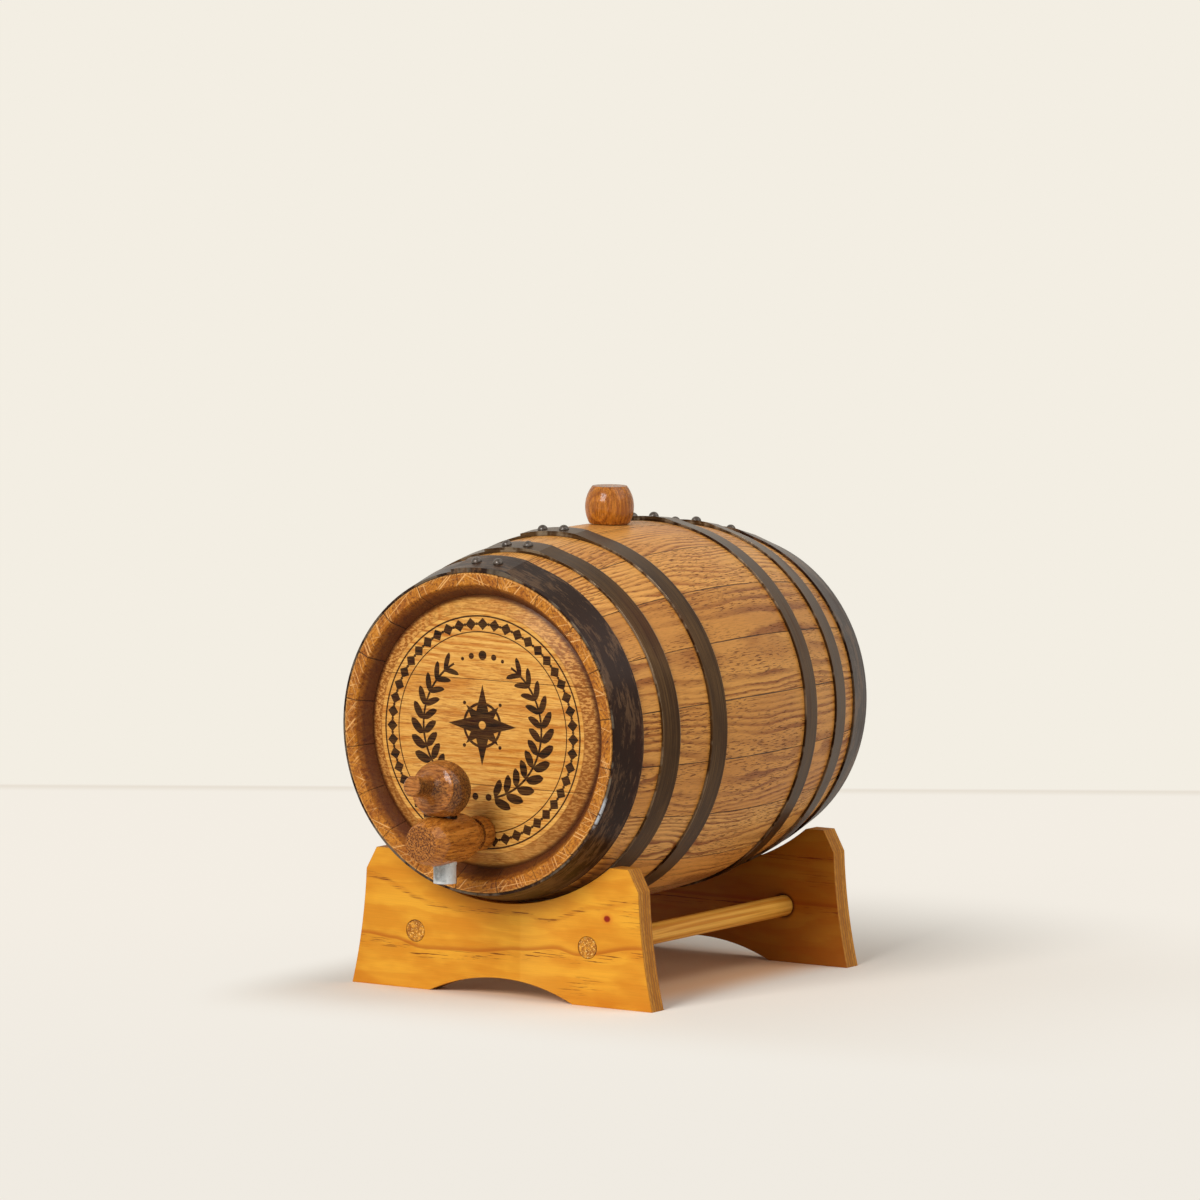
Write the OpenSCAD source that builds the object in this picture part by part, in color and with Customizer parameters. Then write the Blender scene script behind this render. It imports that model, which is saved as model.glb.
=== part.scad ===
// Oak cask liquor dispenser: a two litre stave barrel bound by six riveted hoops, with a
// bung, a turned wooden tap and its key, resting on a cradle of two plywood plates.
// X points right, the barrel lies along Y with its tap toward -Y, and Z points up.
// The origin is under the middle of the whole object, on the surface that it stands on.

/* [Barrel] */
// Length of the barrel over both chimes
barrel_len = 200; // [180:1:240]
// Outer diameter of the bare staves at the bilge, the widest place
bilge_d = 160; // [150:1:180]
// Outer diameter of the bare staves at the chimes, the two ends
chime_d = 133.4; // [126:0.2:142]
// Thickness of a stave
stave_t = 11; // [9:0.5:13]
// Number of staves
stave_count = 20; // [16:1:24]
// Joint line between two staves
stave_seam = 0.1; // [0.05:0.05:0.3]
// Width of the flat end grain ring on a chime
chime_flat = 4.7; // [3:0.1:6]

/* [Heads] */
// Thickness of a head
head_t = 12; // [10:0.5:16]
// How far a head's flat face lies inside the chime
head_recess = 3.9; // [2:0.1:8]
// Width of the bevel round a head's face
head_bevel_w = 6.3; // [4:0.1:9]
// Drop of that bevel from the face to the rim
head_bevel_h = 3.1; // [2:0.1:4]
// Thickness of the rim that sits in the croze
head_rim_t = 4; // [3:0.1:5]
// Depth of the croze, the groove that holds the head
croze_depth = 2.8; // [2:0.1:4]
// Width of a head's middle board
board_w = 44; // [38:0.5:50]
// Joint line between two head boards
board_seam = 0.1; // [0.05:0.05:0.3]
// Diameter of the hidden pins between head boards
pin_d = 4; // [3:0.5:5]
// Length of a hidden pin
pin_len = 16; // [10:1:20]
// Distance between the two pins of a joint
pin_pitch = 50; // [36:1:60]

/* [Hoops] */
// Thickness of the hoop steel
hoop_t = 1; // [0.6:0.1:1.5]
// Distance from the chime's end to the head hoop
head_hoop_inset = 0.5; // [0.2:0.1:3]
// Width of a head hoop
head_hoop_w = 16.1; // [12:0.1:18]
// Width of a quarter hoop
quarter_hoop_w = 10.2; // [8:0.1:12]
// Bare wood between a quarter hoop and a bilge hoop
bilge_hoop_space = 20.3; // [16:0.1:22]
// Width of a bilge hoop
bilge_hoop_w = 10.1; // [8:0.1:12]
// Length of the lap where a hoop's ends cross
lap_len = 27; // [24:0.5:36]
// Length of the slope from the lap down to the single hoop
lap_run = 10; // [4:0.5:12]
// Distance between the two rivets of a lap
rivet_pitch = 10.5; // [8:0.5:14]
// Diameter of a rivet's head
rivet_head_d = 4.4; // [3.5:0.1:6]
// Height of a rivet's head
rivet_head_h = 1.9; // [1:0.1:2.1]
// Diameter of a rivet's shank
rivet_d = 2; // [1.5:0.1:3]

/* [Bung] */
// Diameter of the bung hole at the barrel's top
bung_hole_d = 15; // [12:0.5:16]
// Narrowing of hole and bung, in radius for each millimetre of depth
bung_taper = 0.065; // [0.02:0.005:0.1]
// Depth that the bung reaches below the barrel's top
bung_tail = 13; // [11:0.5:18]
// Height of the bung's knob
bung_h = 15.8; // [12:0.1:20]
// Diameter of the knob at its foot
bung_foot_d = 17.2; // [16.5:0.1:18]
// Largest diameter of the knob
bung_belly_d = 20.8; // [20:0.1:24]
// Height of that widest place above the foot
bung_belly_h = 6.6; // [5.5:0.1:7.5]
// Diameter of the knob's flat top
bung_top_d = 14.7; // [12:0.1:16]

/* [Tap] */
// Height of the tap's axis below the barrel's axis
tap_drop = 42; // [38:0.5:43]
// Distance from the head's face to the plug's axis
tap_reach = 27.3; // [25:0.1:36]
// Distance from the plug's axis to the tap's front face
tap_nose = 17.7; // [16:0.1:22]
// Largest diameter of the tap's body
tap_d = 20.5; // [18:0.1:24]
// Diameter of the tap's flat front face
tap_face_d = 15; // [12:0.1:16]
// Distance from the plug's axis forward to the shoulder, where the body is at full width
tap_shoulder = 8; // [6:0.1:11]
// Distance from the plug's axis back to the hip, where it starts to narrow
tap_hip = 6.6; // [5.6:0.1:9]
// Diameter of the body's end at the groove
tap_end_d = 13.2; // [13.1:0.1:14.5]
// Diameter of the turned groove behind the body
tap_neck_d = 11.8; // [11:0.1:13]
// Width of that groove
tap_neck_w = 2.2; // [1.5:0.1:4]
// Diameter of the collar against the head
tap_collar_d = 14; // [13.4:0.1:17]
// Width of the collar
tap_collar_w = 7; // [5:0.1:9]
// Diameter of the tapered tail at the collar
tap_tail_d = 12.4; // [11.4:0.1:13]
// Narrowing of the tail, in radius for each millimetre of length
tap_tail_taper = 0.03; // [0.01:0.005:0.05]
// Length of the tail inside the barrel
tap_tail_out = 4; // [2:0.5:8]
// Diameter of the flow bore
flow_d = 5; // [3:0.5:6]

/* [Plug and key] */
// Diameter of the plastic plug in the tap
plug_d = 10.1; // [9:0.1:11]
// Diameter of the plug's spout
spout_d = 9.5; // [7.5:0.1:9.7]
// Length of the spout below the tap's body
spout_len = 7.8; // [5:0.1:15]
// Diameter of the spout's bore
spout_bore_d = 6; // [4:0.1:6.5]
// Diameter of the plug's stem in the key
stem_d = 6; // [4:0.1:7]
// Length of the stem inside the key
stem_len = 8; // [5:0.5:12]
// Depth of the plug's shoulder below the tap's top
plug_sunk = 1.8; // [1.5:0.1:3]
// Diameter of the key's turned ball
key_d = 24.5; // [22:0.1:26]
// Height of the key's axis above its flat underside
key_seat = 10; // [9.5:0.1:10.9]
// Reach of the key's nub ahead of the plug's axis
key_reach = 24.9; // [24:0.1:34]
// Diameter of the nub
nub_d = 8.4; // [6:0.1:10]
// Length of the nub
nub_len = 9.8; // [6:0.1:10]
// Distance from the plug's axis to the middle of the key's ball
key_middle = 2.7; // [2:0.1:3.5]
// Reach of the ball ahead of the plug's axis
key_front = 9.3; // [8:0.1:10]
// Reach of the ball behind the plug's axis
key_back = 4.6; // [4:0.1:6]
// Upward tilt of the nub
key_tilt = 9.5; // [0:0.5:12]

/* [Cradle] */
// Thickness of the plywood
plate_t = 9; // [6:0.5:12]
// Height of the plates
plate_h = 58.6; // [52:0.1:70]
// Height of the saddle's lowest point
saddle_z = 39.6; // [34:0.1:46]
// How much larger the saddle's radius is than the barrel's there
saddle_slack = 14; // [4:0.5:20]
// Width of the flat on top of each horn
horn_flat = 8.9; // [5:0.1:14]
// Width of the cut-off corner
corner_w = 5.1; // [2:0.1:8]
// Height of the cut-off corner
corner_h = 9.3; // [4:0.1:12]
// How far each foot spreads beyond the cut-off corner
foot_splay = 7.2; // [4:0.1:14]
// Radius of the hollow side
side_r = 240; // [160:5:400]
// Width of the arch between the feet
arch_w = 72; // [50:1:84]
// Height of that arch
arch_h = 8; // [7:0.1:12]
// Diameter of the dowels
dowel_d = 9; // [6:0.5:12]
// Distance between the two dowels
dowel_pitch = 86.6; // [70:0.2:96]
// Height of the dowels' axes
dowel_z = 24.5; // [20:0.1:27]

/* [Hidden] */
lap_inset = 0.1; // the lap's outer layer is this much narrower on each side
lap_run_on = 1.3; // blank of the lap's slope, as a share of lap_run: it ends inside the ring
// How far the outlines of turned pieces bow out from the straight line
shoulder_bow = 0.8; // tap, from the front face to the shoulder
hip_bow = 1.1; // tap, from the hip to the groove
collar_bow = 0.5; // tap's collar
cove_bow = 1.2; // key, and hollow
// Tones of the staves in the plain model
stave_tone = 0.92;
tone_swing = 0.08;
tone_step = 137;
// Named clearances
head_fit = 0.1; // head in its croze
hoop_fit = 0.05; // hoop on the staves
hoop_play = 1.8; // head hoop to cradle plate
quarter_play = 0.6; // cradle plate to quarter hoop
rivet_fit = 0.05; // rivet in the hoop
pin_fit = 0.05; // hidden pin in the boards
bung_fit = 0.1; // bung in its hole
bung_rest = 0.3; // knob's foot over the barrel's top
collar_rest = 0.2; // collar ahead of the head
tail_fit = 0.1; // tail in the head
plug_fit = 0.05; // plug in the tap
stem_fit = 0.05; // stem in the key
key_rest = 0.4; // key over the tap
saddle_rest = 0.3; // barrel over the saddle
dowel_fit = 0.2; // dowel in the plates
over = 1; // cuts run this far past a face

$fn = 96;
arc_fn = 720; // long shallow arcs

// Name of the stave that is i places round from the bung stave
function stave_name(i) = str("stave_", i < 9 ? "0" : "", i + 1);

// Radius of the circle through a bow's two ends and its crown
function bow_radius(half_chord, rise) = (half_chord ^ 2 + rise ^ 2) / (2 * rise);

// Centre of the circle through three points
function arc_centre(p, m, q) =
    let (
        turn = 2 * (p.x * (m.y - q.y) + m.x * (q.y - p.y) + q.x * (p.y - m.y)),
        pp = p * p,
        mm = m * m,
        qq = q * q
    )
    [pp * (m.y - q.y) + mm * (q.y - p.y) + qq * (p.y - m.y),
     pp * (q.x - m.x) + mm * (p.x - q.x) + qq * (m.x - p.x)] / turn;

// Point that lies bow to the right of the middle of the line from p to q
function bowed(p, q, bow) = (p + q) / 2 + bow * [q.y - p.y, p.x - q.x] / norm(q - p);

// Points along the arc from p through m to q, in n steps
function arc_points(p, m, q, n) =
    let (
        c = arc_centre(p, m, q),
        r = norm(m - c),
        from = atan2(p.y - c.y, p.x - c.x),
        sweep = atan2(cross(p - c, q - c), (p - c) * (q - c))
    )
    [for (i = [0 : n]) c + r * [cos(from + sweep * i / n), sin(from + sweep * i / n)]];

// Barrel: its outside is an arc along Y, turned about the barrel's axis
half_len = barrel_len / 2;
bilge_r = bilge_d / 2;
stave_arc = bow_radius(half_len, (bilge_d - chime_d) / 2);
arc_r = bilge_r - stave_arc; // the arc's centre, as a radius from the barrel's axis
function stave_r(y) = arc_r + sqrt(stave_arc ^ 2 - y ^ 2);
function inner_r(y) = arc_r + sqrt((stave_arc - stave_t) ^ 2 - y ^ 2);
function stave_slope(y) = -y / sqrt(stave_arc ^ 2 - y ^ 2);
stave_angle = 360 / stave_count;
seam_angle = stave_seam / bilge_r * 180 / PI;

// Heads
croze_y = half_len - head_recess - head_bevel_h; // outer wall of the croze
croze_r = inner_r(croze_y) + croze_depth;
rim_y = croze_y - head_fit;
face_y = rim_y + head_bevel_h; // flat face of a head
back_y = face_y - head_t;
joint_z = board_w / 2;

// Hoops, as distances from the barrel's middle
head_hoop_y = half_len - head_hoop_inset;
plate_y = head_hoop_y - head_hoop_w - hoop_play; // outer face of a cradle plate
quarter_hoop_y = plate_y - plate_t - quarter_play;
bilge_hoop_y = quarter_hoop_y - quarter_hoop_w - bilge_hoop_space;
// How far each lap is turned from the top, front to rear
lap_turns = [-0.4, -1.5, -3.1, -4.7, -3.4, -2];

// Cradle and the barrel's height on it
seat_r = stave_r(plate_y - plate_t); // the barrel rests on the plates' inner edges
axis_z = saddle_z + saddle_rest + seat_r;
saddle_r = seat_r + saddle_slack;
saddle_half = sqrt(saddle_r ^ 2 - (saddle_r - plate_h + saddle_z) ^ 2);
horn_half = saddle_half + horn_flat;
shoulder_half = horn_half + corner_w;
shoulder_z = plate_h - corner_h;
foot_half = shoulder_half + foot_splay;
arch_r = bow_radius(arch_w / 2, arch_h);

// Tap and key
tap_r = tap_d / 2;
plug_y = -(face_y + tap_reach);
collar_back = tap_reach - collar_rest;
collar_front = collar_back - tap_collar_w;
body_back = collar_front - tap_neck_w;
tail_end = tap_reach + head_t + tap_tail_out;
key_z = tap_r + key_rest + key_seat; // the key's axis above the tap's axis
nub_edge = 0.5; // worn edge of the nub
key_land = 0.7; // edge between the key's body and its cove
nub_face_r = nub_d / 2 - nub_edge;

// The whole object is centred on its length
front_y = plug_y - key_reach * cos(key_tilt) - nub_face_r * sin(key_tilt);
shift_y = -(front_y + half_len) / 2;

// Carries children from the barrel's middle to their place in the object
module at_barrel() translate([0, shift_y, axis_z]) children();

// Turns a profile drawn as [radius, y] about the barrel's axis
module turned_y(angle = 360, start = 0)
    rotate([-90, 0, 0]) rotate([0, 0, start]) rotate_extrude(angle = angle) children();

// Fills a profile out to the arc through p, m and q
module swell(p, m, q) {
    centre = arc_centre(p, m, q);
    inside = [min(p.x, q.x) / 2, (p.y + q.y) / 2];
    intersection() {
        translate(centre) circle(norm(m - centre), $fn = arc_fn);
        polygon([inside, 2 * p - inside, 2 * q - inside]);
    }
}

// ---- Barrel ----

module stave_profile() {
    chime_r = stave_r(half_len) - chime_flat;
    clear_r = inner_r(half_len) - croze_depth - over;
    difference() {
        intersection() {
            translate([arc_r, 0]) circle(stave_arc, $fn = arc_fn);
            translate([0, -half_len]) square([bilge_d, barrel_len]);
        }
        translate([arc_r, 0]) circle(stave_arc - stave_t, $fn = arc_fn);
        translate([-over, -half_len]) square([clear_r + over, barrel_len]);
        for (end = [-1, 1]) scale([1, end]) {
            // Bevelled inside of the chime
            polygon([
                [clear_r - over, croze_y - head_fit],
                [inner_r(croze_y), croze_y],
                [chime_r, half_len],
                [chime_r, half_len + over],
                [clear_r - over, half_len + over]]);
            // Croze
            translate([clear_r - over, croze_y - head_rim_t - 2 * head_fit])
                square([croze_r - clear_r + over, head_rim_t + 2 * head_fit]);
        }
    }
}

// The stave that is i places round from the top one
module stave(i) {
    tone = stave_tone + tone_swing * cos(i * tone_step);
    color([0.73, 0.49, 0.26] * tone)
        at_barrel()
            turned_y(stave_angle - seam_angle, -90 + (i - 0.5) * stave_angle + seam_angle / 2)
                stave_profile();
}

// Cone of the bung hole or, made smaller, of the bung's tail
module bung_cone(top, bottom, shrink) {
    rt = bung_hole_d / 2 + top * bung_taper - shrink;
    rb = bung_hole_d / 2 + bottom * bung_taper - shrink;
    translate([0, 0, bilge_r + bottom]) cylinder(h = top - bottom, r1 = rb, r2 = rt);
}

module bung_stave() {
    difference() {
        stave(0);
        at_barrel() bung_cone(over, -stave_t - over, 0);
    }
}

module head_profile() {
    rim_in = inner_r(croze_y) - head_fit;
    polygon([
        [0, back_y],
        [rim_in - (head_t - head_bevel_h - head_rim_t), back_y],
        [rim_in, rim_y - head_rim_t],
        [croze_r - head_fit, rim_y - head_rim_t],
        [croze_r - head_fit, rim_y],
        [rim_in, rim_y],
        [rim_in - head_bevel_w, face_y],
        [0, face_y]]);
}

module head_pins(clearance) {
    for (x = [-1, 1] * pin_pitch / 2, z = [-1, 1] * joint_z)
        translate([x, (face_y + back_y) / 2, z - pin_len / 2 - clearance])
            cylinder(h = pin_len + 2 * clearance, d = pin_d + 2 * clearance);
}

// One of a head's three boards: row is 1 for the top, 0 for the middle and -1 for the bottom
module head_board(row) {
    low = row == 0 ? -joint_z : joint_z;
    tall = row == 0 ? board_w - board_seam : croze_r;
    color([0.84, 0.63, 0.33])
        difference() {
            intersection() {
                turned_y() head_profile();
                mirror([0, 0, row < 0 ? 1 : 0])
                    translate([-croze_r, 0, low + board_seam / 2]) cube([2 * croze_r, barrel_len, tall]);
            }
            head_pins(pin_fit);
        }
}

// Tail of the tap, from a place ahead of the head's face to its end, with y measured backward
module tap_tail(from_y, to_y, grow) {
    r1 = tap_tail_d / 2 - (from_y - collar_back) * tap_tail_taper + grow;
    r2 = tap_tail_d / 2 - (to_y - collar_back) * tap_tail_taper + grow;
    translate([0, from_y, 0]) rotate([-90, 0, 0]) cylinder(h = to_y - from_y, r1 = r1, r2 = r2);
}

// Carries children to the plug's axis, at the tap's height
module at_plug() at_barrel() translate([0, plug_y, -tap_drop]) children();

module front_head(row) {
    color([0.84, 0.63, 0.33])
        difference() {
            at_barrel() mirror([0, 1, 0]) head_board(row);
            if (row < 0) at_plug() tap_tail(collar_back, tap_reach + head_t + over, tail_fit);
        }
}

module rear_head(row) at_barrel() head_board(row);

module pins(end) color([0.80, 0.62, 0.38]) at_barrel() mirror([0, end, 0]) head_pins(0);

// ---- Hoops ----

// Section of a hoop: a straight band that lies along the staves, layer 0 or the lap's layer 1
module hoop_section(outer_y, width, layer) {
    middle = outer_y - width / 2;
    half = width / 2 - layer * lap_inset;
    slope = stave_slope(middle);
    base = stave_r(middle) + hoop_fit + layer * hoop_t / 2;
    thick = hoop_t * (1 + layer / 2);
    polygon([
        [base + slope * half, middle + half],
        [base - slope * half, middle - half],
        [base - slope * half + thick, middle - half],
        [base + slope * half + thick, middle + half]]);
}

// Carries children to a rivet's place, with Z out through the hoop and 0 on the wood side
module at_rivets(outer_y, width, turn) {
    middle = outer_y - width / 2;
    spread = rivet_pitch / 2 / stave_r(middle) * 180 / PI;
    for (side = [-1, 1])
        rotate([0, turn + side * spread, 0])
            translate([0, middle, stave_r(middle) + hoop_fit])
                rotate([atan(stave_slope(middle)), 0, 0])
                    children();
}

// Space above the slope where the lap's outer layer steps down to the single hoop
module lap_slope_space(outer_y, width, angle) {
    middle = outer_y - width / 2;
    ring_r = stave_r(middle) + hoop_fit;
    drop = hoop_t + lap_run ^ 2 / (2 * ring_r);
    rotate([0, angle, 0])
        translate([0, middle, ring_r + 2 * hoop_t])
            rotate([atan(stave_slope(middle)), 0, 0])
                rotate([0, -atan(drop / lap_run), 0])
                    translate([-3 * lap_run, -width, 0]) cube([3 * lap_run, 2 * width, 6 * hoop_t]);
}

// A hoop: the ring, and the lap's outer layer with a square end on the left and a sloped one
// on the right
module hoop(outer_y, width, turn) {
    per_mm = 180 / PI / stave_r(outer_y - width / 2);
    lap = lap_len * per_mm;
    run = lap_run * lap_run_on * per_mm;
    color([0.20, 0.18, 0.16])
        difference() {
            union() {
                turned_y() hoop_section(outer_y, width, 0);
                mirror([1, 0, 0])
                    difference() {
                        turned_y(lap + run, -90 - turn - lap / 2 - run) hoop_section(outer_y, width, 1);
                        lap_slope_space(outer_y, width, -turn - lap / 2);
                    }
            }
            at_rivets(outer_y, width, turn)
                translate([0, 0, -over]) cylinder(h = 2 * hoop_t + 2 * over, d = rivet_d + 2 * rivet_fit);
        }
}

module rivets(outer_y, width, turn) {
    dome_r = bow_radius(rivet_head_d / 2, rivet_head_h);
    color([0.27, 0.24, 0.22])
        at_rivets(outer_y, width, turn) {
            cylinder(h = 2 * hoop_t + rivet_fit + rivet_head_h / 2, d = rivet_d);
            translate([0, 0, 2 * hoop_t + rivet_fit])
                intersection() {
                    translate([0, 0, rivet_head_h - dome_r]) sphere(dome_r);
                    cylinder(h = rivet_head_d, d = 2 * rivet_head_d);
                }
        }
}

module front_hoop(outer_y, width, turn) at_barrel() mirror([0, 1, 0]) hoop(outer_y, width, turn);

module rear_hoop(outer_y, width, turn) at_barrel() hoop(outer_y, width, turn);

module front_rivets(outer_y, width, turn) at_barrel() mirror([0, 1, 0]) rivets(outer_y, width, turn);

module rear_rivets(outer_y, width, turn) at_barrel() rivets(outer_y, width, turn);

// ---- Bung ----

module bung() {
    foot = [bung_foot_d / 2, 0];
    belly = [bung_belly_d / 2, bung_belly_h];
    crown = [bung_top_d / 2, bung_h];
    color([0.66, 0.39, 0.16])
        at_barrel() {
            bung_cone(bung_rest + over, -bung_tail, bung_fit);
            translate([0, 0, bilge_r + bung_rest])
                rotate_extrude() {
                    polygon([[0, 0], foot, crown, [0, bung_h]]);
                    swell(foot, belly, crown);
                }
        }
}

// ---- Tap ----

// Profile of the tap as [radius, y], with y measured back from the plug's axis
module tap_profile() {
    face = [tap_face_d / 2, -tap_nose];
    shoulder = [tap_r, -tap_shoulder];
    hip = [tap_r, tap_hip];
    end = [tap_end_d / 2, body_back];
    neck = tap_neck_d / 2;
    rim = [tap_collar_d / 2, collar_front];
    heel = [tap_collar_d / 2, collar_back];
    polygon([
        [0, face.y], face, shoulder, hip, end, [neck, body_back], [neck, collar_front],
        rim, heel, [0, collar_back]]);
    swell(face, bowed(face, shoulder, shoulder_bow), shoulder);
    swell(hip, bowed(hip, end, hip_bow), end);
    swell(rim, bowed(rim, heel, collar_bow), heel);
}

module tap_body() {
    bore_d = plug_d + 2 * plug_fit;
    color([0.60, 0.36, 0.19])
        at_plug()
            difference() {
                union() {
                    turned_y() tap_profile();
                    tap_tail(collar_back - over, tail_end, 0);
                }
                translate([0, 0, -tap_d]) cylinder(h = 2 * tap_d, d = bore_d);
                rotate([-90, 0, 0]) cylinder(h = tail_end + over, d = flow_d);
            }
}

module tap_plug() {
    low = -tap_r - spout_len;
    stem_top = tap_r + key_rest / 2 + stem_len;
    color([0.80, 0.82, 0.83])
        at_plug()
            difference() {
                union() {
                    translate([0, 0, -tap_r]) cylinder(h = 2 * tap_r - plug_sunk, d = plug_d);
                    translate([0, 0, low]) cylinder(h = -low, d = spout_d);
                    cylinder(h = stem_top, d = stem_d);
                }
                // Outlet, and the side port that lines up with the flow bore when the key is turned
                translate([0, 0, low - over]) cylinder(h = over - low + flow_d / 2, d = spout_bore_d);
                rotate([0, 90, 0]) cylinder(h = plug_d, d = flow_d);
            }
}

// Profile of the key as [radius, y], with y measured forward from the plug's axis:
// a turned ball cut off front and back, a hollow flare and a cylindrical nub
module key_profile() {
    ball_r = key_d / 2;
    rim_r = sqrt(ball_r ^ 2 - (key_front - key_middle) ^ 2);
    land = [rim_r - key_land, key_front];
    root = [nub_d / 2, key_reach - nub_len];
    cove = bowed(land, root, -cove_bow);
    intersection() {
        translate([0, key_middle]) circle(ball_r, $fn = arc_fn);
        translate([0, -key_back]) square([ball_r + over, key_back + key_front]);
    }
    polygon(concat(
        [[0, 0], [land.x, 0]],
        arc_points(land, cove, root, 8),
        [[nub_d / 2, key_reach - nub_edge], [nub_face_r, key_reach], [0, key_reach]]));
}

module tap_key() {
    color([0.55, 0.33, 0.18])
        at_plug()
            translate([0, 0, key_z])
                difference() {
                    rotate([-key_tilt, 0, 0]) mirror([0, 1, 0]) turned_y() key_profile();
                    translate([-key_d, -key_reach, -key_d - key_seat]) cube([2 * key_d, 2 * key_reach, key_d]);
                    translate([0, 0, -key_seat - over])
                        cylinder(h = over - key_rest / 2 + stem_len + stem_fit, d = stem_d + 2 * stem_fit);
                }
}

// ---- Cradle ----

// Centre of the circle that hollows the right side between the foot and the shoulder
function side_centre() =
    let (
        foot = [foot_half, 0],
        shoulder = [shoulder_half, shoulder_z],
        along = shoulder - foot,
        outward = [along.y, -along.x] / norm(along)
    )
    (foot + shoulder) / 2 + outward * sqrt(side_r ^ 2 - (along * along) / 4);

module plate_outline() {
    difference() {
        polygon([
            [-foot_half, 0], [foot_half, 0], [shoulder_half, shoulder_z], [horn_half, plate_h],
            [-horn_half, plate_h], [-shoulder_half, shoulder_z]]);
        translate([0, saddle_z + saddle_r]) circle(saddle_r, $fn = arc_fn);
        translate([0, arch_h - arch_r]) circle(arch_r, $fn = arc_fn);
        for (side = [-1, 1]) scale([side, 1]) {
            translate(side_centre()) circle(side_r, $fn = arc_fn);
            translate([dowel_pitch / 2, dowel_z]) circle(d = dowel_d + 2 * dowel_fit);
        }
    }
}

// A cradle plate whose front face is at y
module cradle_plate(y) {
    color([0.87, 0.60, 0.25])
        translate([0, shift_y + y + plate_t, 0]) rotate([90, 0, 0]) linear_extrude(plate_t) plate_outline();
}

module dowel(side) {
    color([0.85, 0.64, 0.34])
        translate([side * dowel_pitch / 2, shift_y - plate_y, dowel_z])
            rotate([-90, 0, 0]) cylinder(h = 2 * plate_y, d = dowel_d);
}

// ---- The assembly ----

bung_stave();
for (i = [1 : stave_count - 1])
    stave(i);
front_head(1);  // front_head_top
front_head(0);  // front_head_middle
front_head(-1);  // front_head_bottom
pins(1);  // front_head_pins
rear_head(1);  // rear_head_top
rear_head(0);  // rear_head_middle
rear_head(-1);  // rear_head_bottom
pins(0);  // rear_head_pins
front_hoop(head_hoop_y, head_hoop_w, lap_turns[0]);  // front_head_hoop
front_hoop(quarter_hoop_y, quarter_hoop_w, lap_turns[1]);  // front_quarter_hoop
front_hoop(bilge_hoop_y, bilge_hoop_w, lap_turns[2]);  // front_bilge_hoop
rear_hoop(bilge_hoop_y, bilge_hoop_w, lap_turns[3]);  // rear_bilge_hoop
rear_hoop(quarter_hoop_y, quarter_hoop_w, lap_turns[4]);  // rear_quarter_hoop
rear_hoop(head_hoop_y, head_hoop_w, lap_turns[5]);  // rear_head_hoop
front_rivets(head_hoop_y, head_hoop_w, lap_turns[0]);  // front_head_rivets
front_rivets(quarter_hoop_y, quarter_hoop_w, lap_turns[1]);  // front_quarter_rivets
front_rivets(bilge_hoop_y, bilge_hoop_w, lap_turns[2]);  // front_bilge_rivets
rear_rivets(bilge_hoop_y, bilge_hoop_w, lap_turns[3]);  // rear_bilge_rivets
rear_rivets(quarter_hoop_y, quarter_hoop_w, lap_turns[4]);  // rear_quarter_rivets
rear_rivets(head_hoop_y, head_hoop_w, lap_turns[5]);  // rear_head_rivets
bung();
tap_body();
tap_plug();
tap_key();
cradle_plate(-plate_y);  // cradle_front
cradle_plate(plate_y - plate_t);  // cradle_rear
dowel(-1);  // dowel_left
dowel(1);  // dowel_right
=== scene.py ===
"""Looks of the oak cask liquor dispenser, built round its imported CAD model. Lengths in the
materials are millimetres in the object's own frame, and lengths on the stage are metres."""

import math

import bpy
from mathutils import Matrix, Vector

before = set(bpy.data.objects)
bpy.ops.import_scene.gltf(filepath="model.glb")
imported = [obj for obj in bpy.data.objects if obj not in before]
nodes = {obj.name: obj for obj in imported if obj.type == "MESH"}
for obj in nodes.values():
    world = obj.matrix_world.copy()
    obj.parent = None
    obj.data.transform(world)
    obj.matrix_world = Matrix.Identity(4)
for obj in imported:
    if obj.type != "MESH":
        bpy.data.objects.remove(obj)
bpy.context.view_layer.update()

# ---- The object's measures, as the CAD has them, in millimetres ----
AXIS_Z = 112.9486  # barrel's axis
MID_Y = 24.2346  # barrel's middle
HALF_LEN = 100.0
BILGE_R = 80.0
STAVE_T = 11.0
STAVES = 20
STAVE_TURN = 2 * math.pi / STAVES  # the angle that a stave takes up
RISE = 13.3  # from the chime's radius to the bilge's
ARC = (HALF_LEN**2 + RISE**2) / (2 * RISE)  # radius of a stave's bend
ARC_R = BILGE_R - ARC
BUNG_HOLE_R = 11.0
BOARD_W = 44.0  # a head's middle board
BEVEL_W = 6.3
BEVEL_Y = 93.0  # foot of a head's bevel, from the barrel's middle
RIM_R = ARC_R + math.sqrt((ARC - STAVE_T) ** 2 - BEVEL_Y**2) - 0.1  # a head meets staves
TAP_Z = AXIS_Z - 42.0  # tap's axis
PLUG_Y = -99.0654  # plug's axis
PLATE_T = 9.0
PLATE_Y = 81.6  # outer face of a cradle plate, from the barrel's middle
DOWEL_X, DOWEL_Z = 43.3, 24.5
# Each hoop's outer edge, from the barrel's middle, and its width
HOOPS = ((99.5, 16.1), (72.0, 10.2), (41.5, 10.1))
HOOP_R = 70.0  # about every hoop's radius, which is near enough for its wear


def srgb(r, g, b):
    """A colour written as it shows, 0 to 255, in the linear values that a shader takes."""
    out = []
    for c in (r, g, b):
        c /= 255
        out.append(c / 12.92 if c <= 0.04045 else ((c + 0.055) / 1.055) ** 2.4)
    return (*out, 1.0)


# ---- Node trees written as sums ----


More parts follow.
